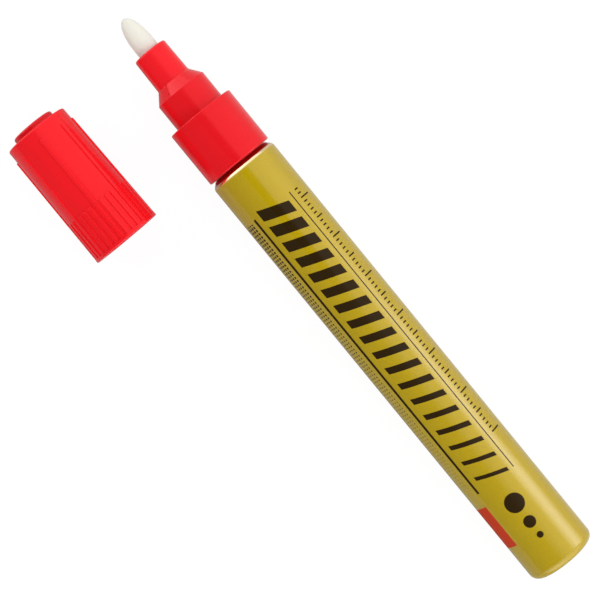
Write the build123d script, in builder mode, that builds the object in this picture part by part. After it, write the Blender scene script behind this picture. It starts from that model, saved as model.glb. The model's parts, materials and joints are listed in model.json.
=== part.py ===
from build123d import *

import os
from math import cos, hypot, radians, sin

# Valve paint marker lying on a table, with its cap taken off and laid beside the nose.
# Millimetres, +Z up, +X from the barrel's base to the nib, the cap on the +Y side.
# The origin lies on the table, under the middle of the whole part's box.

os.makedirs("parts", exist_ok=True)

# Fits, each a gap left all round
press_gap = 0.02
running_gap = 0.08
cap_fit_gap = 0.05
contact_gap = 0.02
overrun = 1.0

# Barrel
barrel_diameter = 15.0
barrel_length = 103.1
barrel_wall = 0.4
base_thickness = 0.8
base_bend = 1.3
mouth_slope = 1.15
mouth_bend = 0.8
mouth_lip = 0.2

# Nose holder, outside
neck_length = 0.15
collar_length = 12.45
collar_step = 0.09
collar_front_edge = 0.25
collar_back_edge = 0.3
seat_length = 5.95
seat_edge = 0.2
cone_length = 2.45
cone_rise = 1.82
tip_length = 7.5
tip_wall = 1.29
tip_draft = 0.12
tip_edge = 0.45
vent_width = 0.42
vent_depth = 0.14
vent_angle = -27.0
vent_count = 2

# Nose holder, inside
skirt_length = 15.1
skirt_edge = 0.6
neck_wall = 1.1
chamber_gap = 1.3
chamber_cover = 1.9
bore_edge = 0.12
valve_bore_depth = 18.0

# Nib
nib_diameter = 4.64
nib_reach = 8.2
nib_nose = 6.2
nib_tail_edge = 0.4

# Valve
seat_ring_thickness = 2.0
seat_ring_edge = 0.25
housing_wall = 1.0
housing_floor = 1.2
flange_thickness = 1.0
flange_gap = 0.4
port_diameter = 1.5
port_count = 4
head_flow_share = 0.5
head_thickness = 1.6
head_edge = 0.2
seal_land = 0.9
rod_diameter = 2.62
rod_reach = 6.6
rod_edge = 0.3
guide_diameter = 2.6
guide_tail = 0.6

# Spring
spring_wire = 0.5
spring_gap = 0.45
spring_turns = 7

# Mixing ball
ball_diameter = 6.0
ball_gap = 0.15

# Cap shell
cap_mouth_wall = 1.62
cap_top_wall = 1.3
cap_end_wall = 1.6
cap_top_edge = 0.36
cap_mouth_edge = 0.3
rim_length = 0.7
rim_lip = 0.04
rim_edge = 0.25
rib_height = 0.26
rib_width = 0.85
rib_edge = 0.15
rib_sink = 0.3
rib_count = 32
ribs_per_long_rib = 4
rib_phase = -1.0
grip_length = 9.3
long_rib_length = 25.5

# Inner cap
nib_clearance = 1.0
sleeve_floor = 1.5
sleeve_setback = 0.6
sleeve_edge = 0.3
sleeve_corner = 0.8
ring_height = 0.6
ring_length = 1.6
head_step = 1.0
head_height = 1.25
head_round = 0.45

# Where the cap lies
cap_spacing = 27.3
cap_setback = 2.29
cap_yaw = 0.57

# Stations along the marker, counted from the base
collar_back = barrel_length + neck_length
collar_front = collar_back + collar_length
cone_back = collar_front + seat_length
cone_front = cone_back + cone_length
tip_front = cone_front + tip_length
marker_length = tip_front + nib_reach
skirt_back = barrel_length - skirt_length
shoulder = skirt_back + valve_bore_depth
chamber_front = cone_back - chamber_cover
seat_ring_back = shoulder - seat_ring_thickness
flange_back = skirt_back - flange_thickness
floor_front = flange_back + housing_floor
nib_tail = shoulder + rod_reach
nib_shoulder = marker_length - nib_nose
head_front = seat_ring_back - contact_gap
head_back = head_front - head_thickness
stem_back = flange_back - guide_tail

# Radii of the marker
barrel_radius = barrel_diameter / 2
barrel_bore = barrel_radius - barrel_wall
base_edge = base_bend + barrel_wall
mouth_edge = mouth_bend + barrel_wall
mouth_radius = barrel_radius - mouth_slope - mouth_lip
skirt_radius = barrel_bore - press_gap
neck_radius = mouth_radius - press_gap
collar_radius = barrel_radius - collar_step
nib_radius = nib_diameter / 2
nib_bore = nib_radius + running_gap
tip_front_radius = nib_bore + tip_wall
tip_root_radius = tip_front_radius + tip_draft
seat_radius = tip_root_radius + cone_rise
chamber_radius = nib_bore + chamber_gap
valve_bore = neck_radius - neck_wall
housing_radius = valve_bore - press_gap
housing_bore = housing_radius - housing_wall
flange_radius = barrel_bore - flange_gap
rod_radius = rod_diameter / 2
flow_room = housing_bore - seal_land - rod_radius
head_flow_gap = flow_room * head_flow_share
rod_flow_gap = flow_room - head_flow_gap
head_radius = housing_bore - head_flow_gap
seat_hole = rod_radius + rod_flow_gap
guide_radius = guide_diameter / 2
guide_bore = guide_radius + running_gap
spring_radius = guide_radius + spring_gap + spring_wire / 2
port_circle = (spring_radius + spring_wire / 2 + housing_bore) / 2
ball_radius = ball_diameter / 2

# Stations of the barrel's mouth, which slopes inwards at 45 degrees with the same wall
slope_back = barrel_length - mouth_slope
slope_wall = hypot(barrel_wall, barrel_wall)
inner_slope_back = slope_back + barrel_wall - slope_wall
lip_back = inner_slope_back + barrel_bore - mouth_radius

# Stations along the cap, counted from its mouth, and its radii
nose_length = seat_length + cone_length + tip_length + nib_reach
sleeve_mouth = seat_length + cone_length + sleeve_setback
sleeve_end = nose_length + nib_clearance
end_inside = sleeve_end + sleeve_floor
cap_length = end_inside + cap_end_wall
head_top = cap_length + head_height
cap_bore = seat_radius + cap_fit_gap
cap_mouth_radius = cap_bore + cap_mouth_wall
cap_top_radius = cap_bore + cap_top_wall
rim_radius = cap_mouth_radius + rib_height + rim_lip
ring_radius = cap_bore - press_gap
sleeve_radius = ring_radius - ring_height
sleeve_bore = tip_root_radius + cap_fit_gap
cap_head_radius = ring_radius - head_step
head_hole = cap_head_radius + press_gap

# Places in the whole part: the box of both pieces is centred on the origin
yaw_cos = cos(radians(cap_yaw))
yaw_sin = sin(radians(cap_yaw))
cap_reach = rim_radius * yaw_cos - cap_length / 2 * yaw_sin
base_x = -marker_length / 2
marker_y = (barrel_radius - cap_spacing - cap_reach) / 2
marker_z = barrel_radius
cap_mid_x = base_x + collar_back + cap_setback + cap_length / 2
cap_mouth_x = cap_mid_x - cap_length / 2 * yaw_cos
cap_mouth_y = marker_y + cap_spacing - cap_length / 2 * yaw_sin

# Sketch planes with the station along X and the radius along Y, and the axes that profiles turn about
marker_base = Vector(base_x, marker_y, marker_z)
marker_side = Plane(origin=marker_base, x_dir=(1, 0, 0), z_dir=(0, -1, 0))
marker_axis = Axis(marker_base, (1, 0, 0))
cap_mouth = Vector(cap_mouth_x, cap_mouth_y, rim_radius)
cap_side = Plane(origin=cap_mouth, x_dir=(yaw_cos, yaw_sin, 0), z_dir=(yaw_sin, -yaw_cos, 0))
cap_axis = Axis(cap_mouth, (yaw_cos, yaw_sin, 0))

# The marker's plane turned under: its profiles start there, so that no seam shows from above
marker_under = marker_side.rotated((180, 0, 0))


def corners(outline):
    """Points of an outline whose rows are station, radius and the rounding of that corner."""
    return [(station, radius) for station, radius, rounding in outline]


def roundings(outline):
    """Corner radii of the same outline, zero where the corner is sharp."""
    return [rounding for station, radius, rounding in outline]


def cap_body_radius(station):
    """Radius of the cap between its ribs, which narrows evenly from the mouth to the closed end."""
    return cap_mouth_radius - (cap_mouth_radius - cap_top_radius) * station / cap_length


# Barrel: impact-formed aluminium can with a rounded base and a mouth that is rolled to a slope
barrel_outline = [
    (0, 0, 0),
    (0, barrel_radius, base_edge),
    (slope_back, barrel_radius, mouth_edge),
    (barrel_length, mouth_radius + mouth_lip, 0),
    (barrel_length, mouth_radius, 0),
    (lip_back, mouth_radius, 0),
    (inner_slope_back, barrel_bore, mouth_bend),
    (base_thickness, barrel_bore, base_bend),
    (base_thickness, 0, 0),
]
with BuildPart() as barrel:
    with BuildSketch(marker_under):
        with BuildLine():
            FilletPolyline(corners(barrel_outline), radius=roundings(barrel_outline), close=True)
        make_face()
    revolve(axis=marker_axis)
barrel.part.label = "barrel"
export_step(barrel.part, "parts/barrel.step")

# Nose holder: skirt inside the barrel, neck, collar, cap seat, cone and tip in one moulding
nose_outline = [
    (skirt_back, valve_bore, 0),
    (skirt_back, skirt_radius, skirt_edge),
    (inner_slope_back - press_gap, skirt_radius, mouth_bend),
    (lip_back - press_gap, neck_radius, 0),
    (collar_back, neck_radius, 0),
    (collar_back, collar_radius, collar_back_edge),
    (collar_front, collar_radius, collar_front_edge),
    (collar_front, seat_radius, 0),
    (cone_back, seat_radius, seat_edge),
    (cone_front, tip_root_radius, seat_edge),
    (tip_front, tip_front_radius, tip_edge),
    (tip_front, nib_bore, bore_edge),
    (chamber_front, nib_bore, 0),
    (chamber_front, chamber_radius, 0),
    (shoulder, chamber_radius, 0),
    (shoulder, valve_bore, 0),
]
vent_outline = [
    (cone_back, seat_radius - vent_depth),
    (cone_front, tip_root_radius - vent_depth),
    (cone_front, tip_root_radius + overrun),
    (cone_back, seat_radius + overrun),
]
with BuildPart() as nose_holder:
    with BuildSketch(marker_under):
        with BuildLine():
            FilletPolyline(corners(nose_outline), radius=roundings(nose_outline), close=True)
        make_face()
    revolve(axis=marker_axis)
    for index in range(vent_count):
        vent_side = marker_side.rotated((vent_angle + index * 360 / vent_count, 0, 0))
        with BuildSketch(vent_side):
            with BuildLine():
                Polyline(vent_outline, close=True)
            make_face()
        extrude(amount=vent_width / 2, both=True, mode=Mode.SUBTRACT)
nose_holder.part.label = "nose_holder"
export_step(nose_holder.part, "parts/nose_holder.step")

# Nib: round fibre rod with an elliptical front
with BuildPart() as nib:
    with BuildSketch(marker_under):
        with BuildLine():
            Polyline(
                (marker_length, 0),
                (nib_tail, 0),
                (nib_tail, nib_radius - nib_tail_edge),
                (nib_tail + nib_tail_edge, nib_radius),
                (nib_shoulder, nib_radius),
            )
            EllipticalCenterArc((nib_shoulder, 0), nib_nose, nib_radius, start_angle=0, arc_size=90)
        make_face()
    revolve(axis=marker_axis)
nib.part.label = "nib"
export_step(nib.part, "parts/nib.step")

# Valve seat: soft ring between the holder's shoulder and the housing's rim
seat_ring_outline = [
    (seat_ring_back, seat_hole, seat_ring_edge),
    (seat_ring_back, valve_bore - press_gap, 0),
    (shoulder, valve_bore - press_gap, 0),
    (shoulder, seat_hole, seat_ring_edge),
]
with BuildPart() as valve_seat:
    with BuildSketch(marker_under):
        with BuildLine():
            FilletPolyline(corners(seat_ring_outline), radius=roundings(seat_ring_outline), close=True)
        make_face()
    revolve(axis=marker_axis)
valve_seat.part.label = "valve_seat"
export_step(valve_seat.part, "parts/valve_seat.step")

# Valve housing: cup in the skirt's bore, with a flange on the skirt's end and ports in its floor
housing_outline = [
    (seat_ring_back, housing_bore, 0),
    (seat_ring_back, housing_radius, 0),
    (skirt_back, housing_radius, 0),
    (skirt_back, flange_radius, 0),
    (flange_back, flange_radius, 0),
    (flange_back, guide_bore, 0),
    (floor_front, guide_bore, 0),
    (floor_front, housing_bore, 0),
]
floor_plane = Plane(origin=marker_base + (flange_back - overrun, 0, 0), x_dir=(0, 1, 0), z_dir=(1, 0, 0))
with BuildPart() as valve_housing:
    with BuildSketch(marker_under):
        with BuildLine():
            FilletPolyline(corners(housing_outline), radius=roundings(housing_outline), close=True)
        make_face()
    revolve(axis=marker_axis)
    with BuildSketch(floor_plane):
        with PolarLocations(port_circle, port_count):
            Circle(port_diameter / 2)
    extrude(amount=housing_floor + overrun, mode=Mode.SUBTRACT)
valve_housing.part.label = "valve_housing"
export_step(valve_housing.part, "parts/valve_housing.step")

# Valve stem: push rod, sealing head and guide rod
stem_outline = [
    (nib_tail - contact_gap, 0, 0),
    (nib_tail - contact_gap, rod_radius, rod_edge),
    (head_front, rod_radius, 0),
    (head_front, head_radius, head_edge),
    (head_back, head_radius, head_edge),
    (head_back, guide_radius, 0),
    (stem_back, guide_radius, rod_edge),
    (stem_back, 0, 0),
]
with BuildPart() as valve_stem:
    with BuildSketch(marker_under):
        with BuildLine():
            FilletPolyline(corners(stem_outline), radius=roundings(stem_outline), close=True)
        make_face()
    revolve(axis=marker_axis)
valve_stem.part.label = "valve_stem"
export_step(valve_stem.part, "parts/valve_stem.step")

# Valve spring: each half turn is a tilted half circle, square to the axis where it meets the next
spring_start = floor_front + contact_gap + spring_wire / 2
spring_end = head_back - contact_gap - spring_wire / 2
spring_pitch = (spring_end - spring_start) / spring_turns
half_rise = spring_pitch / 2
half_turn_radius = hypot(spring_radius, half_rise / 2)
with BuildPart() as valve_spring:
    with BuildLine() as coil:
        for index in range(2 * spring_turns):
            side = 1 if index % 2 == 0 else -1
            rise = spring_start + index * half_rise
            ThreePointArc(
                marker_base + (rise, 0, side * spring_radius),
                marker_base + (rise + half_rise / 2, side * half_turn_radius, 0),
                marker_base + (rise + half_rise, 0, -side * spring_radius),
            )
    with BuildSketch(Plane(origin=coil.line @ 0, z_dir=coil.line % 0)):
        Circle(spring_wire / 2)
    sweep(path=coil.line)
valve_spring.part.label = "valve_spring"
export_step(valve_spring.part, "parts/valve_spring.step")
print(f"The spring's turns clear each other by {spring_pitch - spring_wire:.2f} mm")

# Mixing ball: lies on the barrel's inner wall, next to the base
ball_place = marker_base + (base_thickness + ball_gap + ball_radius, 0, ball_radius + ball_gap - barrel_bore)
with BuildPart() as mixing_ball:
    with Locations(ball_place):
        Sphere(ball_radius)
mixing_ball.part.label = "mixing_ball"
export_step(mixing_ball.part, "parts/mixing_ball.step")

# Cap shell: narrowing tube with a plain rim, a band of fine ribs and eight long ribs
shell_outline = [
    (0, cap_bore, cap_mouth_edge),
    (0, rim_radius, rim_edge),
    (rim_length, rim_radius, 0),
    (rim_length, cap_body_radius(rim_length), 0),
    (cap_length, cap_top_radius, cap_top_edge),
    (cap_length, head_hole, 0),
    (end_inside, head_hole, 0),
    (end_inside, cap_bore, 0),
]


def rib(end):
    """One rib on top of the cap: it follows the taper from inside the rim to end, with a rounded crest."""
    start = rim_length / 2
    with BuildPart() as blank:
        with BuildSketch(cap_side):
            with BuildLine():
                Polyline(
                    (start, cap_body_radius(start) - rib_sink),
                    (end, cap_body_radius(end) - rib_sink),
                    (end, cap_body_radius(end) + rib_height),
                    (start, cap_body_radius(start) + rib_height),
                    close=True,
                )
            make_face()
        extrude(amount=rib_width / 2, both=True)
        crest = blank.faces().sort_by(Axis.Z)[-1]
        fillet(crest.edges().sort_by(cap_axis)[1:], rib_edge)
    return blank.part


fine_rib = rib(grip_length)
long_rib = rib(long_rib_length)
with BuildPart() as cap_shell:
    with BuildSketch(cap_side):
        with BuildLine():
            FilletPolyline(corners(shell_outline), radius=roundings(shell_outline), close=True)
        make_face()
    revolve(axis=cap_axis)
    for index in range(rib_count):
        blank = long_rib if index % ribs_per_long_rib == 0 else fine_rib
        add(blank.rotate(cap_axis, rib_phase + index * 360 / rib_count))
cap_shell.part.label = "cap_shell"
export_step(cap_shell.part, "parts/cap_shell.step")

# Inner cap: sealing sleeve held by two rings, with a round head that shows through the cap's end
inner_outline = [
    (sleeve_mouth, sleeve_bore, sleeve_edge),
    (sleeve_mouth, ring_radius, sleeve_edge),
    (sleeve_mouth + ring_length, ring_radius, 0),
    (sleeve_mouth + ring_length, sleeve_radius, 0),
    (end_inside - ring_length, sleeve_radius, 0),
    (end_inside - ring_length, ring_radius, 0),
    (end_inside, ring_radius, 0),
    (end_inside, cap_head_radius, 0),
    (head_top, cap_head_radius, head_round),
    (head_top, 0, 0),
    (sleeve_end, 0, 0),
    (sleeve_end, sleeve_bore, sleeve_corner),
]
with BuildPart() as inner_cap:
    with BuildSketch(cap_side):
        with BuildLine():
            FilletPolyline(corners(inner_outline), radius=roundings(inner_outline), close=True)
        make_face()
    revolve(axis=cap_axis)
inner_cap.part.label = "inner_cap"
export_step(inner_cap.part, "parts/inner_cap.step")
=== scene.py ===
import json
import logging
from dataclasses import dataclass, field
from enum import Enum
from math import cos, pi, radians, sin
from typing import Optional, Union

import bpy
from mathutils import Matrix, Vector


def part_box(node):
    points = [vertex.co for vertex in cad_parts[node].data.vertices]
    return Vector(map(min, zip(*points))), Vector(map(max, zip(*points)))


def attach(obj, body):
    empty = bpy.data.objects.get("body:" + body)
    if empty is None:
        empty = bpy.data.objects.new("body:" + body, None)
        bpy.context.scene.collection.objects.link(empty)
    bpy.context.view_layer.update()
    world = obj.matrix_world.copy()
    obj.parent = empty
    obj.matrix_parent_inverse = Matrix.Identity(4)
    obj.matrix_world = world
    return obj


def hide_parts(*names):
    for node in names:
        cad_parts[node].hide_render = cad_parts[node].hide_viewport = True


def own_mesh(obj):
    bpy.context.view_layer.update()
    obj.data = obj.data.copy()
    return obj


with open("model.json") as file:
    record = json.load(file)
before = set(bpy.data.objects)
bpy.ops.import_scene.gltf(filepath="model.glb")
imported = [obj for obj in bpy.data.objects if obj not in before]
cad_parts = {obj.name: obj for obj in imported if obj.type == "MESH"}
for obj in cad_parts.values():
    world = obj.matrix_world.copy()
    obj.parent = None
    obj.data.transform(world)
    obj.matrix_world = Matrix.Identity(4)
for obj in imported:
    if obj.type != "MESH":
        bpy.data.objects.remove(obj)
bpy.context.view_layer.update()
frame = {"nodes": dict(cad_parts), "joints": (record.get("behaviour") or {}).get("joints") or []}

# A paint marker with its cap laid beside it: finishes for the turned and moulded pieces, the valve
# spring as a modelled coil, and a white studio. Metres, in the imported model's frame.

MM = 0.001
PER_MM = 1000.0
HALF = 0.5
NOISE_MEAN = 0.5
log = logging.getLogger("paint_marker")

Colour = tuple[float, float, float]
Shares = tuple[float, float, float]
Value = Union["Signal", float]
BLACK: Colour = (0.0, 0.0, 0.0)
RED_PART: Shares = (1.0, 0.0, 0.0)

TOWARDS_NIB = Vector((1.0, 0.0, 0.0))
TOWARDS_LIGHT = Vector((0.0, -1.0, 0.0))
UPWARDS = Vector((0.0, 0.0, 1.0))

# The Mix node's sockets for colours, by number
MIX_SHARE, MIX_FIRST, MIX_SECOND, MIX_RESULT = 0, 6, 7, 2


class Ray(Enum):
    """The kinds of ray that a surface can answer in its own way."""

    CAMERA = "Is Camera Ray"
    GLOSSY = "Is Glossy Ray"
    TRANSMISSION = "Is Transmission Ray"


class Signal:
    """A node's output that takes part in Python expressions, each of which adds a Math node."""

    def __init__(self, sheet: "Sheet", socket: bpy.types.NodeSocket) -> None:
        """Wraps one output socket.

        Args:
            sheet: The node tree that new Math nodes go into.
            socket: The output that carries the value.
        """
        self.sheet = sheet
        self.socket = socket

    def maths(self, operation: str, *others: Value, clamp: bool = False) -> "Signal":
        """Adds a Math node with this value as its first input.

        Args:
            operation: The Math node's operation.
            others: Its further inputs, in order.
            clamp: Whether the result is held between 0 and 1.

        Returns:
            The node's result.
        """
        return self.sheet.maths(operation, self, *others, clamp=clamp)

    def __add__(self, other: Value) -> "Signal":
        """This value plus another."""
        return self.maths("ADD", other)

    def __sub__(self, other: Value) -> "Signal":
        """This value less another."""
        return self.maths("SUBTRACT", other)

    def __mul__(self, other: Value) -> "Signal":
        """This value times another."""
        return self.maths("MULTIPLY", other)

    def __truediv__(self, other: Value) -> "Signal":
        """This value divided by another."""
        return self.maths("DIVIDE", other)

    def __rsub__(self, other: float) -> "Signal":
        """A number less this value."""
        return self.sheet.maths("SUBTRACT", other, self)

    def __rtruediv__(self, other: float) -> "Signal":
        """A number divided by this value."""
        return self.sheet.maths("DIVIDE", other, self)

    __radd__ = __add__
    __rmul__ = __mul__

    def __abs__(self) -> "Signal":
        """This value without its sign."""
        return self.maths("ABSOLUTE")

    def __and__(self, other: Value) -> "Signal":
        """Where both masks are set: their product."""
        return self.maths("MULTIPLY", other)

    def __or__(self, other: Value) -> "Signal":
        """Where either mask is set: the larger of them."""
        return self.maths("MAXIMUM", other)

    def above(self, edge: Value, soft: float) -> "Signal":
        """Mask of what lies above an edge, which is blurred over the width soft."""
        return ((self - edge) / soft).maths("ADD", HALF, clamp=True)

    def within(self, low: Value, high: Value, soft: float) -> "Signal":
        """Mask of what lies between two edges, each blurred over the width soft."""
        return self.above(low, soft) & (1.0 - self.above(high, soft))

    def eased(self) -> "Signal":
        """This share with a soft start and end: three times its square less twice its cube."""
        return self * self * (3.0 - self * 2.0)


class Sheet:
    """The node tree of one material or of the world, with short ways to add nodes to it."""

    def __init__(self, owner: Union[bpy.types.Material, bpy.types.World]) -> None:
        """Empties the owner's node tree.

        Args:
            owner: The material or world that gets the nodes.
        """
        owner.use_nodes = True
        self.tree = owner.node_tree
        self.tree.nodes.clear()

    def node(
        self,
        kind: str,
        settings: Optional[dict[str, object]] = None,
        sockets: Optional[dict[Union[str, int], object]] = None,
    ) -> bpy.types.Node:
        """Adds any node.

        Args:
            kind: The node's type name.
            settings: Properties, such as a Math node's operation, which are set first.
            sockets: Values or links of the inputs, by name or number.

        Returns:
            The new node.
        """
        made = self.tree.nodes.new(kind)
        for name, value in (settings or {}).items():
            setattr(made, name, value)
        for name, value in (sockets or {}).items():
            self.feed(made.inputs[name], value)
        return made

    def feed(self, socket: bpy.types.NodeSocket, value: object) -> None:
        """Links a signal or an output to an input, or sets a plain value on it.

        Args:
            socket: The input.
            value: A Signal, an output socket, a number, a colour or a vector.
        """
        if isinstance(value, Signal):
            self.tree.links.new(value.socket, socket)
        elif isinstance(value, bpy.types.NodeSocket):
            self.tree.links.new(value, socket)
        elif socket.type == "RGBA" and len(value) == len(BLACK):
            socket.default_value = (*value, 1.0)
        else:
            socket.default_value = value

    def maths(self, operation: str, *values: Value, clamp: bool = False) -> Signal:
        """Adds a Math node.

        Args:
            operation: Its operation.
            values: Its inputs, in order.
            clamp: Whether the result is held between 0 and 1.

        Returns:
            Its result.
        """
        settings = {"operation": operation, "use_clamp": clamp}
        made = self.node("ShaderNodeMath", settings, dict(enumerate(values)))
        return Signal(self, made.outputs[0])

    def vector(self, operation: str, first: object, second: object, output: str = "Vector") -> Signal:
        """Adds a Vector Math node.

        Args:
            operation: Its operation.
            first: Its first vector.
            second: Its second vector.
            output: The output that is wanted, Vector or Value.

        Returns:
            That output.
        """
        made = self.node("ShaderNodeVectorMath", {"operation": operation}, {0: first, 1: second})
        return Signal(self, made.outputs[output])

    def reach(self, place: object, way: object) -> Signal:
        """How far a place lies along a direction, from the origin."""
        return self.vector("DOT_PRODUCT", place, way, "Value")

    def mix(self, share: Value, first: object, second: object) -> Signal:
        """Mixes two colours.

        Args:
            share: How much of the second colour there is.
            first: A colour or a signal.
            second: A colour or a signal.

        Returns:
            The mixed colour.
        """
        sockets = {MIX_SHARE: share, MIX_FIRST: first, MIX_SECOND: second}
        made = self.node("ShaderNodeMix", {"data_type": "RGBA"}, sockets)
        return Signal(self, made.outputs[MIX_RESULT])

    def place(self) -> Signal:
        """The point on the piece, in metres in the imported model's frame."""
        return Signal(self, self.node("ShaderNodeTexCoord").outputs["Object"])

    def ray(self, kind: Ray) -> Signal:
        """Mask of the rays of one kind."""
        return Signal(self, self.node("ShaderNodeLightPath").outputs[kind.value])

    def noise(self, place: Signal, size: float, detail: float, sharpness: float = 0.5) -> Signal:
        """Smooth noise between 0 and 1, about NOISE_MEAN on average.

        Args:
            place: The vector that the noise is read at.
            size: How large its lumps are, in the units of place.
            detail: How many finer octaves are added.
            sharpness: How strong each finer octave is.

        Returns:
            The noise.
        """
        sockets = {"Vector": place, "Scale": 1.0 / size, "Detail": detail, "Roughness": sharpness}
        return Signal(self, self.node("ShaderNodeTexNoise", None, sockets).outputs[0])

    def cells(self, place: Signal, size: float) -> tuple[Signal, Signal]:
        """Cells round scattered points.

        Args:
            place: The vector that the cells are read at.
            size: The spacing of the points, in the units of place.

        Returns:
            The distance to the nearest point, as a share of the spacing, and a random tone for each cell.
        """
        sockets = {"Vector": place, "Scale": 1.0 / size}
        made = self.node("ShaderNodeTexVoronoi", None, sockets)
        tone = self.reach(made.outputs["Color"], RED_PART)
        return Signal(self, made.outputs["Distance"]), tone

    def bump(self, height: Signal, depth: float, strength: float = 1.0) -> Signal:
        """A normal that follows a height.

        Args:
            height: The height, from 0 to 1.
            depth: How deep the whole range is, in metres.
            strength: How much of it shows.

        Returns:
            The normal.
        """
        sockets = {"Strength": strength, "Distance": depth, "Height": height}
        return Signal(self, self.node("ShaderNodeBump", None, sockets).outputs[0])

    def blend(self, share: Signal, first: bpy.types.Node, second: bpy.types.Node) -> bpy.types.Node:
        """Blends two shaders.

        Args:
            share: How much of the second shader there is.
            first: A shader node.
            second: A shader node.

        Returns:
            The Mix Shader node.
        """
        sockets = {0: share, 1: first.outputs[0], 2: second.outputs[0]}
        return self.node("ShaderNodeMixShader", None, sockets)

    def end(self, shader: bpy.types.Node) -> None:
        """Ends a material in a shader."""
        self.node("ShaderNodeOutputMaterial", None, {"Surface": shader.outputs[0]})

    def surface(self, sockets: dict[str, object]) -> None:
        """Ends a material in a Principled surface whose inputs get values or links, by name."""
        self.end(self.node("ShaderNodeBsdfPrincipled", None, sockets))


@dataclass(frozen=True)
class Lathe:
    """The axis that a round piece is turned about, which its pattern's coordinates follow."""

    start: Vector
    along: Vector

    def coordinates(self, sheet: Sheet) -> tuple[Signal, Signal, Signal]:
        """Turns a point on the piece into cylinder coordinates.

        Args:
            sheet: The material that reads them.

        Returns:
            Station along the axis and radius in millimetres, and the angle in radians: none on top,
            growing towards the side that lies to the right of someone who looks along the axis.
        """
        right = self.along.cross(UPWARDS)
        up = right.cross(self.along)
        arm = sheet.vector("SUBTRACT", sheet.place(), self.start)
        station = sheet.reach(arm, self.along) * PER_MM
        across = sheet.reach(arm, right) * PER_MM
        height = sheet.reach(arm, up) * PER_MM
        angle = across.maths("ARCTAN2", height)
        radius = (across * across + height * height).maths("SQRT")
        return station, radius, angle


def joint_named(name: str) -> dict[str, object]:
    """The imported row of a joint."""
    return next(joint for joint in frame["joints"] if joint["name"] == name)


def centre_of(node: str) -> Vector:
    """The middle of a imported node's box."""
    low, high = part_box(node)
    return (low + high) / 2


def marker_lathe() -> Lathe:
    """The marker's axis, from the middle of the barrel's base towards the nib."""
    middle = centre_of("barrel")
    return Lathe(Vector((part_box("barrel")[0].x, middle.y, middle.z)), TOWARDS_NIB)


def cap_lathe() -> Lathe:
    """The cap's axis, from the middle of the cap's shell towards its closed end."""
    return Lathe(centre_of("cap_shell"), Vector(joint_named("cap_pull")["axis"]).normalized())


@dataclass(frozen=True)
class Finish:
    """What every finish has: its name, its main colour and how rough it is."""

    name: str
    colour: Colour
    roughness: float

    def shaded(self, share: float) -> Colour:
        """The main colour with each of its parts times a share."""
        return tuple(share * part for part in self.colour)

    def material(self) -> bpy.types.Material:
        """Makes the material.

        Returns:
            A material with this finish's nodes.
        """
        made = bpy.data.materials.new(self.name)
        self.draw(Sheet(made))
        return made

    def draw(self, sheet: Sheet) -> None:
        """Fills the material's node tree.

        Args:
            sheet: The empty tree.
        """
        raise NotImplementedError


@dataclass(frozen=True)
class RedPlastic(Finish):
    """Gloss red plastic: faint sinks from cooling, a fine skin and light rub marks from handling."""

    lathe: Lathe
    gloss_tint: Colour = (1.0, 0.2, 0.22)
    refraction: float = 1.9
    sink_shade: float = 0.05
    sink_size: float = 7.0 * MM
    sink_detail: float = 1.0
    sink_depth: float = 0.012 * MM
    skin_size: float = 0.12 * MM
    skin_detail: float = 2.0
    skin_share: float = 0.08
    rub_length: float = 1.6
    rub_width: float = 0.1
    rub_detail: float = 3.0
    rub_sharpness: float = 0.6
    rub_share: float = 0.62
    rub_softness: float = 0.2
    rub_roughness: float = 0.2

    def body_colour(self, sheet: Sheet, station: Signal) -> Union[Signal, Colour]:
        """The plastic's own colour at a station along the piece."""
        return self.colour

    def draw(self, sheet: Sheet) -> None:
        """Fills the material's node tree.

        Args:
            sheet: The empty tree.
        """
        station, radius, angle = self.lathe.coordinates(sheet)
        place = sheet.place()
        sinks = sheet.noise(place, self.sink_size, self.sink_detail)
        skin = sheet.noise(place, self.skin_size, self.skin_detail)
        unrolled = sheet.node("ShaderNodeCombineXYZ", None, {
            0: station / self.rub_width, 1: angle * radius / self.rub_length, 2: radius,
        })
        marks = sheet.noise(Signal(sheet, unrolled.outputs[0]), 1.0, self.rub_detail, self.rub_sharpness)
        rubs = marks.above(self.rub_share, self.rub_softness)
        height = sinks + skin * self.skin_share
        sheet.surface({
            "Base Color": sheet.mix(sinks * self.sink_shade, self.body_colour(sheet, station), BLACK),
            "Roughness": self.roughness + rubs * self.rub_roughness + (skin - NOISE_MEAN) * self.skin_share,
            "IOR": self.refraction,
            "Specular Tint": self.gloss_tint,
            "Normal": sheet.bump(height, self.sink_depth),
        })


@dataclass(frozen=True)
class NosePlastic(RedPlastic):
    """The nose's plastic, whose tip is painted lighter: painted light that stands in for the light on the
    tip.
    """

    # Painted light: from this station on, the tip's red is lighter than the nose's, standing in for the
    # light on the tip.
    painted_lit_tip_colour: Colour = (0.95, 0.013, 0.02)
    painted_lit_tip_station: float = 124.1
    painted_lit_tip_blur: float = 0.6

    def body_colour(self, sheet: Sheet, station: Signal) -> Union[Signal, Colour]:
        """The plastic's colour at a station along the piece, with the tip painted lighter as painted light.
        """
        return sheet.mix(station.above(self.painted_lit_tip_station, self.painted_lit_tip_blur), self.colour, self.painted_lit_tip_colour)


@dataclass(frozen=True)
class Patch:
    """A rectangle on the unrolled barrel, in millimetres from its base and round from its top line."""

    start: float
    end: float
    low: float
    high: float

    def mask(self, station: Signal, arc: Signal, edge: float) -> Signal:
        """Mask of the rectangle, with edges blurred over the width edge."""
        return station.within(self.start, self.end, edge) & arc.within(self.low, self.high, edge)

    def inset(self, rim: float) -> "Patch":
        """The rectangle without a rim of some width."""
        return Patch(self.start + rim, self.end - rim, self.low + rim, self.high - rim)


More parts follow.
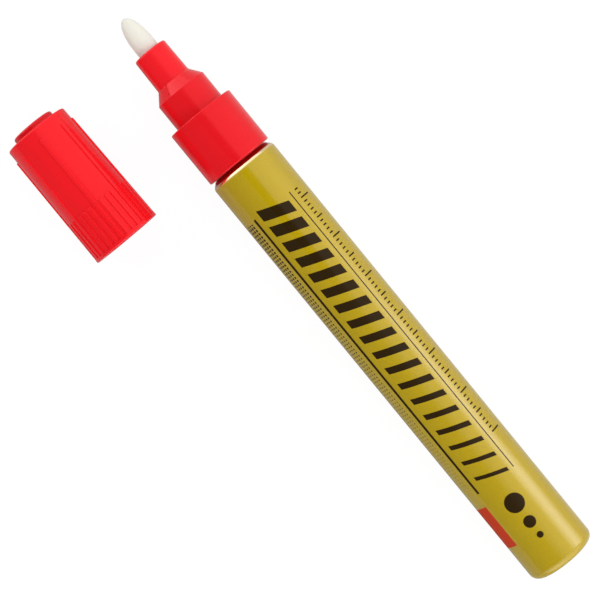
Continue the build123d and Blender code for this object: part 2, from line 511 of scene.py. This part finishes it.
@dataclass(frozen=True)
class BarrelPrint:
    """The print round the barrel, in millimetres: graded bars, rules, a tick scale, dots and a blank panel.

    Places along the barrel count from its base, and places round it from the top line.
    """

    edge: float = 0.07
    bars: Patch = Patch(22.0, 92.4, -4.1, 2.6)
    bars_count: int = 18
    bars_slope: float = 0.36
    thinnest_share: float = 0.24
    thickest_share: float = 0.68
    rules: tuple[Patch, ...] = (Patch(22.0, 92.4, -6.0, -5.4), Patch(22.0, 92.4, 3.7, 3.95))
    ticks: Patch = Patch(30.0, 92.0, 5.2, 8.0)
    tick_pitch: float = 1.0
    tick_width: float = 0.32
    tick_reaches: tuple[float, float, float] = (6.2, 7.1, 8.0)
    ticks_per_step: int = 5
    screen: Patch = Patch(24.0, 92.0, -10.0, -6.8)
    screen_pitch: float = 0.8
    finest_dot: float = 0.1
    widest_dot: float = 0.38
    dot_stations: tuple[float, ...] = (8.3, 11.6, 16.4)
    dot_radii: tuple[float, ...] = (0.7, 1.3, 2.1)
    dot_arc: float = -0.8
    swatch: Patch = Patch(9.0, 19.0, -11.4, -6.5)
    panel: Patch = Patch(24.0, 92.0, 12.0, 22.0)
    panel_line: float = 0.3
    row_pitch: float = 1.4
    row_height: float = 0.45

    def graded_bars(self, station: Signal, arc: Signal) -> Signal:
        """Slanted bars that grow thicker towards the nib.

        Args:
            station: Place along the barrel.
            arc: Place round the barrel.

        Returns:
            Mask of the bars.
        """
        pitch = (self.bars.end - self.bars.start) / self.bars_count
        count = (station - self.bars.start + (arc - self.bars.high) * self.bars_slope) / pitch
        number = count.maths("FLOOR")
        growth = (self.thickest_share - self.thinnest_share) / (self.bars_count - 1)
        soft = self.edge / pitch
        bar = (count - number).within(soft, self.thinnest_share + number * growth, soft)
        inside = number.within(-HALF, self.bars_count - HALF, self.edge)
        return bar & inside & arc.within(self.bars.low, self.bars.high, self.edge)

    def every(self, step: int, number: Signal) -> Signal:
        """Mask of the whole numbers that a step divides."""
        return 1.0 - abs(number.maths("WRAP", step - HALF, -HALF)).above(HALF, self.edge)

    def tick_scale(self, station: Signal, arc: Signal) -> Signal:
        """Fine ticks, of which those at each step and at each second step are longer.

        Args:
            station: Place along the barrel.
            arc: Place round the barrel.

        Returns:
            Mask of the ticks.
        """
        count = (station - self.ticks.start) / self.tick_pitch
        nearest = count.maths("ROUND")
        half_width = self.tick_width / 2 / self.tick_pitch
        tick = 1.0 - abs(count - nearest).above(half_width, self.edge / self.tick_pitch)
        short, middle, long = self.tick_reaches
        at_step = self.every(self.ticks_per_step, nearest)
        at_second_step = self.every(2 * self.ticks_per_step, nearest)
        reach = short + at_step * (middle - short) + at_second_step * (long - middle)
        inside = station.within(self.ticks.start - HALF, self.ticks.end + HALF, self.edge)
        return tick & inside & arc.within(self.ticks.low, reach, self.edge)

    def dot_screen(self, station: Signal, arc: Signal) -> Signal:
        """Rows of dots that grow towards the nib.

        Args:
            station: Place along the barrel.
            arc: Place round the barrel.

        Returns:
            Mask of the dots.
        """
        along = station / self.screen_pitch
        around = arc / self.screen_pitch
        off_along = along - along.maths("ROUND")
        off_around = around - around.maths("ROUND")
        off = (off_along * off_along + off_around * off_around).maths("SQRT")
        growth = (self.widest_dot - self.finest_dot) / (self.screen.end - self.screen.start)
        radius = self.finest_dot + (station - self.screen.start) * growth
        dots = 1.0 - off.above(radius, self.edge / self.screen_pitch)
        return dots & self.screen.mask(station, arc, self.edge)

    def width_dots(self, station: Signal, arc: Signal) -> Signal:
        """Three round dots near the base, from fine to broad.

        Args:
            station: Place along the barrel.
            arc: Place round the barrel.

        Returns:
            Mask of the dots.
        """
        ink = None
        for place, radius in zip(self.dot_stations, self.dot_radii):
            along = station - place
            around = arc - self.dot_arc
            off = (along * along + around * around).maths("SQRT")
            dot = 1.0 - off.above(radius, self.edge)
            ink = dot if ink is None else ink | dot
        return ink

    def blank_panel(self, station: Signal, arc: Signal) -> Signal:
        """A framed panel on the back with plain rows.

        Args:
            station: Place along the barrel.
            arc: Place round the barrel.

        Returns:
            Mask of the panel's frame and rows.
        """
        inner = self.panel.inset(self.panel_line)
        frame_line = self.panel.mask(station, arc, self.edge) - inner.mask(station, arc, self.edge)
        field_area = inner.inset(self.row_pitch)
        count = (arc - field_area.low) / self.row_pitch
        off = abs(count - count.maths("FLOOR") - HALF)
        row = 1.0 - off.above(self.row_height / 2 / self.row_pitch, self.edge / self.row_pitch)
        return frame_line | row & field_area.mask(station, arc, self.edge)

    def ink(self, station: Signal, arc: Signal) -> Signal:
        """All the dark print.

        Args:
            station: Place along the barrel.
            arc: Place round the barrel.

        Returns:
            Mask of the ink.
        """
        ink = self.graded_bars(station, arc) | self.tick_scale(station, arc) | self.dot_screen(station, arc)
        for rule in self.rules:
            ink = ink | rule.mask(station, arc, self.edge)
        return ink | self.width_dots(station, arc) | self.blank_panel(station, arc)


@dataclass(frozen=True)
class GoldLacquer(Finish):
    """Gold lacquer with fine metal flake on an aluminium can, printed, and polished at its rolled mouth,
    whose groove next to the collar is painted dark as painted shade.
    """

    lathe: Lathe
    length: float
    print_layout: BarrelPrint
    ink_colour: Colour
    swatch_colour: Colour
    polished_colour: Colour
    # Painted shade: a dark colour for the mouth's groove, where it lies in the collar's shade.
    painted_groove_shade_colour: Colour
    metallic: float
    coat_roughness: float = 0.14
    coat_refraction: float = 1.65
    matt_share: float = 0.8
    polished_roughness: float = 0.14
    flake_size: float = 0.14 * MM
    flake_depth: float = 0.004 * MM
    flake_relief: float = 0.5
    flake_share: float = 0.32
    cloud_size: float = 3.5 * MM
    cloud_detail: float = 3.0
    cloud_sharpness: float = 0.6
    cloud_share: float = 0.2
    deep_share: float = 0.72
    polished_length: float = 1.3
    polished_edge: float = 0.3
    painted_groove_shade_length: float = 0.85
    painted_groove_shade_edge: float = 0.16

    def draw(self, sheet: Sheet) -> None:
        """Fills the material's node tree.

        Args:
            sheet: The empty tree.
        """
        station, radius, angle = self.lathe.coordinates(sheet)
        arc = angle * radius
        place = sheet.place()
        flake, tone = sheet.cells(place, self.flake_size)
        cloud = sheet.noise(place, self.cloud_size, self.cloud_detail, self.cloud_sharpness)
        polished = station.above(self.length - self.polished_length, self.polished_edge)
        # Painted shade: the polished groove towards the lip is darkened, as in the collar's shade.
        painted_groove_shade = station.above(self.length - self.painted_groove_shade_length, self.painted_groove_shade_edge)
        metal_and_painted_shade = sheet.mix(painted_groove_shade, self.polished_colour, self.painted_groove_shade_colour)
        ink = self.print_layout.ink(station, arc)
        swatch = self.print_layout.swatch.mask(station, arc, self.print_layout.edge)
        depth = cloud * self.cloud_share + tone * self.flake_share
        gold = sheet.mix(depth, self.colour, self.shaded(self.deep_share))
        printed = sheet.mix(swatch, sheet.mix(ink, gold, self.ink_colour), self.swatch_colour)
        sheet.surface({
            "Base Color": sheet.mix(polished, printed, metal_and_painted_shade),
            "Metallic": polished | (1.0 - swatch) * self.metallic,
            "Roughness": self.roughness + (self.polished_roughness - self.roughness) * polished,
            "Specular IOR Level": 0.0,
            "Coat Weight": (1.0 - polished) * (1.0 - (ink | swatch) * self.matt_share),
            "Coat Roughness": self.coat_roughness,
            "Coat IOR": self.coat_refraction,
            "Normal": sheet.bump(flake, self.flake_depth, self.flake_relief),
        })


@dataclass(frozen=True)
class NibFibre(Finish):
    """Bonded fibre: a porous, slightly milky surface with streaks along the nib."""

    pore_size: float = 0.16 * MM
    pore_depth: float = 0.03 * MM
    pore_relief: float = 0.6
    pore_shade: float = 0.08
    streak_width: float = 0.2 * MM
    streak_stretch: Shares = (0.12, 1.0, 1.0)
    streak_detail: float = 3.0
    streak_shade: float = 0.12
    streak_roughness: float = 0.1
    deep_share: float = 0.75
    milky: float = 0.65
    glow_depth: float = 1.4 * MM
    glow_shares: Shares = (1.0, 0.8, 0.6)

    def draw(self, sheet: Sheet) -> None:
        """Fills the material's node tree.

        Args:
            sheet: The empty tree.
        """
        place = sheet.place()
        pores, tone = sheet.cells(place, self.pore_size)
        stretched = sheet.vector("MULTIPLY", place, self.streak_stretch)
        streaks = sheet.noise(stretched, self.streak_width, self.streak_detail)
        shade = (pores + tone) * self.pore_shade + streaks * self.streak_shade
        sheet.surface({
            "Base Color": sheet.mix(shade, self.colour, self.shaded(self.deep_share)),
            "Roughness": self.roughness + streaks * self.streak_roughness,
            "Subsurface Weight": self.milky,
            "Subsurface Radius": self.glow_shares,
            "Subsurface Scale": self.glow_depth,
            "Normal": sheet.bump(pores + streaks, self.pore_depth, self.pore_relief),
        })


@dataclass(frozen=True)
class Moulded(Finish):
    """Plain natural plastic or soft rubber, with a fine skin and a faint cloudiness."""

    milky: float = 0.0
    glow_depth: float = 0.6 * MM
    glow_shares: Shares = (1.0, 0.9, 0.8)
    cloud_size: float = 2.5 * MM
    cloud_detail: float = 2.0
    cloud_share: float = 0.35
    deep_share: float = 0.8
    skin_size: float = 0.15 * MM
    skin_detail: float = 3.0
    skin_depth: float = 0.01 * MM
    skin_relief: float = 0.5
    skin_roughness: float = 0.15

    def draw(self, sheet: Sheet) -> None:
        """Fills the material's node tree.

        Args:
            sheet: The empty tree.
        """
        place = sheet.place()
        cloud = sheet.noise(place, self.cloud_size, self.cloud_detail)
        skin = sheet.noise(place, self.skin_size, self.skin_detail)
        sheet.surface({
            "Base Color": sheet.mix(cloud * self.cloud_share, self.colour, self.shaded(self.deep_share)),
            "Roughness": self.roughness + (skin - NOISE_MEAN) * self.skin_roughness,
            "Subsurface Weight": self.milky,
            "Subsurface Radius": self.glow_shares,
            "Subsurface Scale": self.glow_depth,
            "Normal": sheet.bump(skin, self.skin_depth, self.skin_relief),
        })


@dataclass(frozen=True)
class Steel(Finish):
    """Steel with fine working marks that change its gloss."""

    mark_size: float = 0.3 * MM
    mark_stretch: Shares = (1.0, 0.15, 0.15)
    mark_detail: float = 4.0
    mark_sharpness: float = 0.7
    mark_shade: float = 0.3
    mark_roughness: float = 0.12
    mark_depth: float = 0.002 * MM
    mark_relief: float = 0.4
    deep_share: float = 0.7

    def draw(self, sheet: Sheet) -> None:
        """Fills the material's node tree.

        Args:
            sheet: The empty tree.
        """
        stretched = sheet.vector("MULTIPLY", sheet.place(), self.mark_stretch)
        marks = sheet.noise(stretched, self.mark_size, self.mark_detail, self.mark_sharpness)
        sheet.surface({
            "Base Color": sheet.mix(marks * self.mark_shade, self.colour, self.shaded(self.deep_share)),
            "Metallic": 1.0,
            "Roughness": self.roughness + (marks - NOISE_MEAN) * self.mark_roughness,
            "Normal": sheet.bump(marks, self.mark_depth, self.mark_relief),
        })


def dress_node(node: str, finish: Finish) -> None:
    """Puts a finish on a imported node.

    Args:
        node: The node's name.
        finish: The finish that it wears.
    """
    for slot in frame["nodes"][node].material_slots:
        slot.material = finish.material()
    log.info("%s wears %s", node, finish.name)


@dataclass
class Marker:
    """The printed barrel with the nose and the nib."""

    gold: Colour = (0.615, 0.443, 0.002)
    gold_roughness: float = 0.7
    gold_metallic: float = 0.7
    ink: Colour = (0.036, 0.019, 0.004)
    swatch_red: Colour = (0.56, 0.045, 0.012)
    polished: Colour = (0.95, 0.7, 0.42)
    # Painted shade: the dark reddish brown of the mouth's groove under the collar.
    painted_groove_shade: Colour = (0.4, 0.16, 0.08)
    nose_red: Colour = (0.85, 0.009, 0.015)
    nose_roughness: float = 0.14
    nib_white: Colour = (0.85, 0.83, 0.75)
    nib_roughness: float = 0.7

    def dress(self) -> None:
        """Dresses the barrel, the nose and the nib."""
        lathe = marker_lathe()
        low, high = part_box("barrel")
        dress_node("nose_holder", NosePlastic("red_nose", self.nose_red, self.nose_roughness, lathe))
        dress_node("barrel", GoldLacquer(
            "gold_lacquer_print",
            self.gold,
            self.gold_roughness,
            lathe,
            length=(high.x - low.x) * PER_MM,
            print_layout=BarrelPrint(),
            ink_colour=self.ink,
            swatch_colour=self.swatch_red,
            polished_colour=self.polished,
            painted_groove_shade_colour=self.painted_groove_shade,
            metallic=self.gold_metallic,
        ))
        dress_node("nib", NibFibre("nib_fibre", self.nib_white, self.nib_roughness))


@dataclass
class Cap:
    """The cap's shell with the sealing sleeve in it."""

    # Painted light: the shell's red is lighter than the nose's, as the cap is taken as more strongly lit.
    shell_red_painted_lit: Colour = (0.96, 0.011, 0.0175)
    shell_roughness: float = 0.14
    # Painted shade: the sleeve's red is darker than the shell's, standing in for the shade on its head.
    sleeve_red_painted_shade: Colour = (0.76, 0.0055, 0.01)
    sleeve_roughness: float = 0.16

    def dress(self) -> None:
        """Dresses the shell and the sleeve."""
        lathe = cap_lathe()
        dress_node("cap_shell", RedPlastic("red_cap", self.shell_red_painted_lit, self.shell_roughness, lathe))
        dress_node("inner_cap", RedPlastic("red_inner_cap", self.sleeve_red_painted_shade, self.sleeve_roughness, lathe))


@dataclass
class Valve:
    """The valve's seat, housing and stem, its coil spring, and the ball that stirs the paint.

    The spring is modelled from its wire's round section.
    """

    rubber: Colour = (0.045, 0.045, 0.045)
    rubber_roughness: float = 0.65
    natural: Colour = (0.8, 0.79, 0.74)
    natural_milky: float = 0.3
    housing_roughness: float = 0.4
    stem_roughness: float = 0.35
    ball_steel: Colour = (0.7, 0.7, 0.7)
    ball_roughness: float = 0.14
    wire_steel: Colour = (0.6, 0.6, 0.6)
    wire_roughness: float = 0.28
    wire: float = 0.5 * MM
    turns: int = 7
    section_sides: int = 12
    steps: int = 40
    smooth_deg: float = 40.0

    def dress(self) -> None:
        """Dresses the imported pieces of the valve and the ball."""
        natural, milky = self.natural, self.natural_milky
        dress_node("valve_seat", Moulded("seal_rubber", self.rubber, self.rubber_roughness))
        dress_node("valve_housing", Moulded("natural_housing", natural, self.housing_roughness, milky))
        dress_node("valve_stem", Moulded("natural_stem", natural, self.stem_roughness, milky))
        dress_node("mixing_ball", Steel("ball_steel", self.ball_steel, self.ball_roughness))

    def coil(self) -> bpy.types.Object:
        """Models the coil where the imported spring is.

        Returns:
            The new piece.
        """
        low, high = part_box("valve_spring")
        lathe = marker_lathe()
        coil_radius = (high.z - low.z - self.wire) / 2
        pitch = (high.x - low.x - self.wire) / self.turns
        start = Vector((low.x + self.wire / 2, lathe.start.y, lathe.start.z))
        bpy.ops.object.select_all(action="DESELECT")
        bpy.ops.mesh.primitive_circle_add(
            vertices=self.section_sides, radius=self.wire / 2, location=start, rotation=(pi / 2, 0.0, 0.0),
        )
        coil = bpy.context.object
        coil.name = "coil_spring"
        bpy.ops.object.transform_apply(location=False, rotation=True, scale=True)
        bpy.ops.object.mode_set(mode="EDIT")
        bpy.ops.mesh.select_all(action="SELECT")
        bpy.ops.transform.translate(value=(0.0, 0.0, coil_radius))
        bpy.ops.object.mode_set(mode="OBJECT")
        screw = coil.modifiers.new("coil", "SCREW")
        screw.axis = "X"
        screw.iterations = self.turns
        screw.screw_offset = pitch
        screw.steps = self.steps
        screw.render_steps = self.steps
        bpy.ops.object.modifier_apply(modifier=screw.name)
        bpy.ops.object.mode_set(mode="EDIT")
        bpy.ops.mesh.select_all(action="DESELECT")
        bpy.ops.mesh.select_mode(type="EDGE")
        bpy.ops.mesh.select_non_manifold()
        bpy.ops.mesh.fill()
        bpy.ops.mesh.select_all(action="SELECT")
        bpy.ops.mesh.normals_make_consistent(inside=False)
        bpy.ops.object.mode_set(mode="OBJECT")
        bpy.ops.object.transform_apply(location=True, rotation=True, scale=True)
        bpy.ops.object.shade_smooth_by_angle(angle=radians(self.smooth_deg))
        return coil

    def fit_spring(self) -> None:
        """Builds the spring, dresses it, attaches it to the marker and hides the imported spring."""
        coil = self.coil()
        finish = Steel("spring_wire", self.wire_steel, self.wire_roughness)
        coil.data.materials.append(finish.material())
        travel = joint_named("nib_press")["range_m"][1]
        low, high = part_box("valve_spring")
        keep = 1.0 - travel / (high.x - low.x)
        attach(coil, "marker")
        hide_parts("valve_spring")
        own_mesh(coil)
        log.info("coil_spring stands for valve_spring")


@dataclass
class Camera:
    """The camera above the table. The marker's axis is turned in its picture, and it leans a little."""

    distance: float = 0.4465
    frame_width: float = 0.119837
    sensor: float = 36.0
    turn_deg: float = 50.697
    lean_deg: float = 2.864
    aim: Vector = field(default_factory=lambda: Vector((4.585 * MM, -5.413 * MM, 7.5 * MM)))

    def back(self) -> Vector:
        """The direction from the aim to the camera."""
        lean = radians(self.lean_deg)
        return Vector((sin(lean), 0.0, cos(lean)))

    def place(self) -> Vector:
        """Where the camera is."""
        return self.aim + self.back() * self.distance

    def build(self) -> None:
        """Makes the camera and sets it as the scene's camera."""
        turn = radians(self.turn_deg)
        back = self.back()
        right = Vector((sin(turn), -cos(turn), 0.0)).cross(back).normalized()
        up = back.cross(right)
        data = bpy.data.cameras.new("camera")
        data.sensor_width = self.sensor
        data.lens = self.sensor * self.distance / self.frame_width
        camera = bpy.data.objects.new("camera", data)
        axes = Matrix((right, up, back)).transposed().to_4x4()
        camera.matrix_world = Matrix.Translation(self.place()) @ axes
        bpy.context.scene.collection.objects.link(camera)
        bpy.context.scene.camera = camera


@dataclass
class Studio:
    """White table in a light tent with a bright side, a soft box there and the camera's dark outline."""

    camera: Camera
    floor_size: float = 4.0
    floor_colour: Colour = (0.38, 0.38, 0.38)
    glow_share: float = 0.75
    # Painted shadow: the glow that gloss mirrors is dimmer on the cap's side of the marker than on the
    # bright side.
    mirrored_painted_shadow_side: float = 0.1
    mirrored_painted_lit_side: float = 0.36
    mirrored_blur: float = 0.012
    glow_strength: float = 1.24
    bright_side: float = 0.816
    dim_side: float = 0.2
    side_blur: float = 0.5
    bright_side_ends: float = 1.376
    dim_side_ends: float = 2.04
    end_edge: float = 0.5
    end_blur: float = 0.45
    body_colour: Colour = (0.02, 0.02, 0.02)
    body_length: float = 0.1
    body_width: float = 0.6
    body_rise: float = 0.02
    body_bright_edge: float = -0.07
    body_bright_blur: float = 0.06
    body_dim_edge: float = 0.142
    body_dim_blur: float = 0.04
    box_elevation_deg: float = 27.0
    box_distance: float = 0.6
    box_shift: float = -0.09
    box_width: float = 0.36
    box_height: float = 0.72
    box_core: float = 0.34
    box_blur: float = 0.32
    box_radiance: float = 2.9

    def build(self) -> None:
        """Makes the camera, the table, the tent's light, the soft box and the camera's dark outline."""
        bpy.context.scene.view_settings.view_transform = "Standard"
        self.camera.build()
        self.table()
        self.tent()
        self.soft_box()
        self.camera_outline()

    def table(self) -> None:
        """Makes the white table, whose shadows are faint as under light from all round, and whose glow in
        gloss is painted dimmer on the cap's side as a painted shadow.
        """
        bpy.ops.object.select_all(action="DESELECT")
        bpy.ops.mesh.primitive_plane_add(size=self.floor_size)
        table = bpy.context.object
        table.name = "table"
        made = bpy.data.materials.new("white_table")
        sheet = Sheet(made)
        offset = sheet.reach(sheet.place(), TOWARDS_LIGHT)
        # Painted shadow on the table, seen only in gloss: dimmer on the cap's side of the marker's axis.
        painted_lit_side = offset.above(-marker_lathe().start.y, self.mirrored_blur)
        mirrored = sheet.ray(Ray.GLOSSY) | sheet.ray(Ray.TRANSMISSION)
        share = self.mirrored_painted_shadow_side + painted_lit_side * (self.mirrored_painted_lit_side - self.mirrored_painted_shadow_side)
        shown = sheet.ray(Ray.CAMERA) * self.glow_share | mirrored * share
        matt = sheet.node("ShaderNodeBsdfDiffuse", None, {"Color": self.floor_colour})
        glow = sheet.node("ShaderNodeEmission", None, {"Strength": self.glow_strength})
        sheet.end(sheet.blend(shown, matt, glow))
        table.data.materials.append(made)

    def tent(self) -> None:
        """Lights the scene from all round, most from the marker's two ends and least from the cap's side."""
        world = bpy.data.worlds.new("tent")
        sheet = Sheet(world)
        way = sheet.node("ShaderNodeTexCoord").outputs["Generated"]
        side = sheet.reach(way, TOWARDS_LIGHT).above(0.0, self.side_blur)
        ends = abs(sheet.reach(way, TOWARDS_NIB)).above(self.end_edge, self.end_blur)
        level = self.dim_side + side * (self.bright_side - self.dim_side)
        end_level = self.dim_side_ends + side * (self.bright_side_ends - self.dim_side_ends)
        level = level + ends * (end_level - level)
        seen = sheet.ray(Ray.CAMERA)
        light = sheet.node("ShaderNodeBackground", None, {"Color": seen + (1.0 - seen) * level})
        sheet.node("ShaderNodeOutputWorld", None, {"Surface": light.outputs[0]})
        bpy.context.scene.world = world

    def soft_box(self) -> None:
        """Makes the soft box low on the bright side, which the barrel's lower half mirrors."""
        bpy.ops.object.select_all(action="DESELECT")
        bpy.ops.mesh.primitive_plane_add(size=1.0)
        box = bpy.context.object
        box.name = "soft_box"
        made = bpy.data.materials.new("lit_cloth")
        sheet = Sheet(made)
        apart = sheet.node("ShaderNodeSeparateXYZ", None, {0: sheet.place()})
        across, upward = (Signal(sheet, apart.outputs[axis]) for axis in "XY")
        fall = (1.0 - abs(upward) / HALF).maths("MAXIMUM", 0.0)
        glow = across.within(-self.box_core, self.box_core, self.box_blur) * fall.eased()
        light = sheet.node("ShaderNodeEmission", None, {"Color": glow, "Strength": self.box_radiance})
        clear = sheet.node("ShaderNodeBsdfTransparent")
        sheet.end(sheet.node("ShaderNodeAddShader", None, {0: light.outputs[0], 1: clear.outputs[0]}))
        box.data.materials.append(made)
        elevation = radians(self.box_elevation_deg)
        back = Vector((0.0, -cos(elevation), sin(elevation)))
        axes = Matrix((TOWARDS_NIB, back.cross(TOWARDS_NIB), back)).transposed().to_4x4()
        place = marker_lathe().start + back * self.box_distance + TOWARDS_NIB * self.box_shift
        size = Matrix.Diagonal((self.box_width, self.box_height, 1.0, 1.0))
        box.matrix_world = Matrix.Translation(place) @ axes @ size
        box.visible_camera = False

    def camera_outline(self) -> None:
        """Makes the dark card that stands for the camera's body where gloss mirrors it, with soft sides."""
        bpy.ops.object.select_all(action="DESELECT")
        place = self.camera.place() + UPWARDS * self.body_rise
        bpy.ops.mesh.primitive_plane_add(size=1.0, location=place)
        card = bpy.context.object
        card.name = "camera_body"
        card.scale = (self.body_length, self.body_width, 1.0)
        made = bpy.data.materials.new("black_card")
        sheet = Sheet(made)
        across = sheet.reach(sheet.place(), (0.0, self.body_width, 0.0))
        shown = across.above(self.body_bright_edge, self.body_bright_blur)
        shown = shown & (1.0 - across.above(self.body_dim_edge, self.body_dim_blur))
        clear = sheet.node("ShaderNodeBsdfTransparent")
        dark = sheet.node("ShaderNodeBsdfDiffuse", None, {"Color": self.body_colour})
        sheet.end(sheet.blend(shown, clear, dark))
        card.data.materials.append(made)
        card.visible_camera = False
        card.visible_diffuse = False
        card.visible_shadow = False


def main() -> None:
    """Dresses the marker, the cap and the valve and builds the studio."""
    logging.basicConfig(level=logging.INFO, format="%(message)s")
    Marker().dress()
    Cap().dress()
    valve = Valve()
    valve.dress()
    valve.fit_spring()
    Studio(Camera()).build()


if __name__ == "__main__":
    main()
